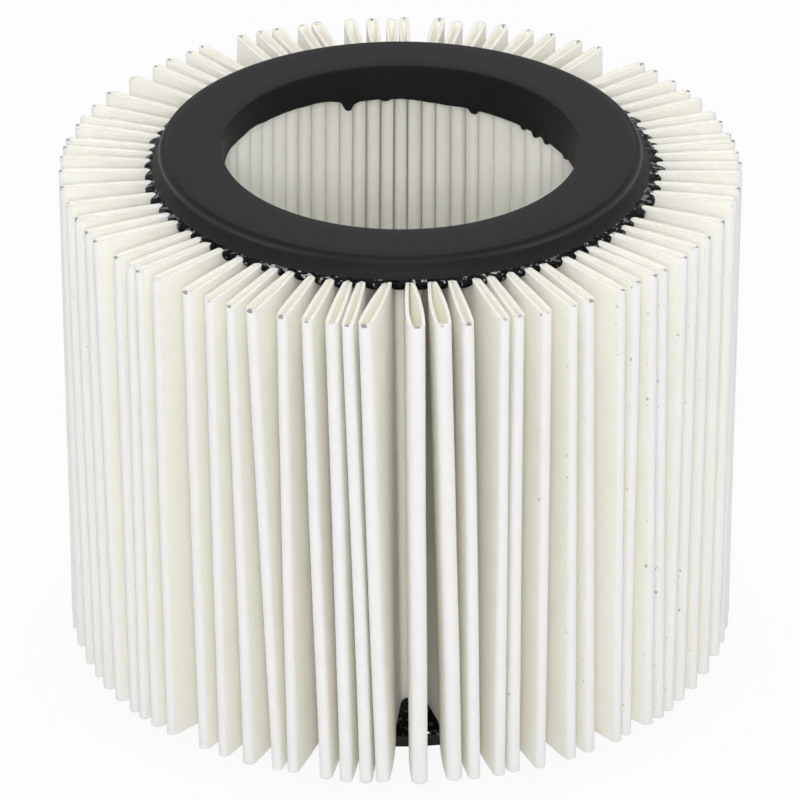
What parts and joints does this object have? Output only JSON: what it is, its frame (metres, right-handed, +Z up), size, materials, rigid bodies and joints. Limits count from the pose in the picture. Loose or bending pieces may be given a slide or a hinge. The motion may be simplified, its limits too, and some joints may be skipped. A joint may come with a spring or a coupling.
{
  "type": "vacuum hepa filter",
  "caption": "Round pleated cartridge filter for a drum vacuum cleaner: white fleece folded into a closed loop between two black moulded sealing rings, open through the middle.",
  "frame": {"origin": "on the filter's axis, at the lower sealing face it stands on", "axes": "+Z up along the filter's axis; -Y faces the picture's viewer, with the wide gap between pleats just left of it"},
  "size_m": [0.185, 0.1849, 0.1507],
  "materials": {
    "filter_fleece": "matte nonwoven",
    "black_polyurethane": "satin moulded"
  },
  "bodies": {
    "root": {"pleated_media": "filter_fleece", "top_end_ring": "black_polyurethane", "bottom_end_ring": "black_polyurethane"}
  },
  "joints": []
}
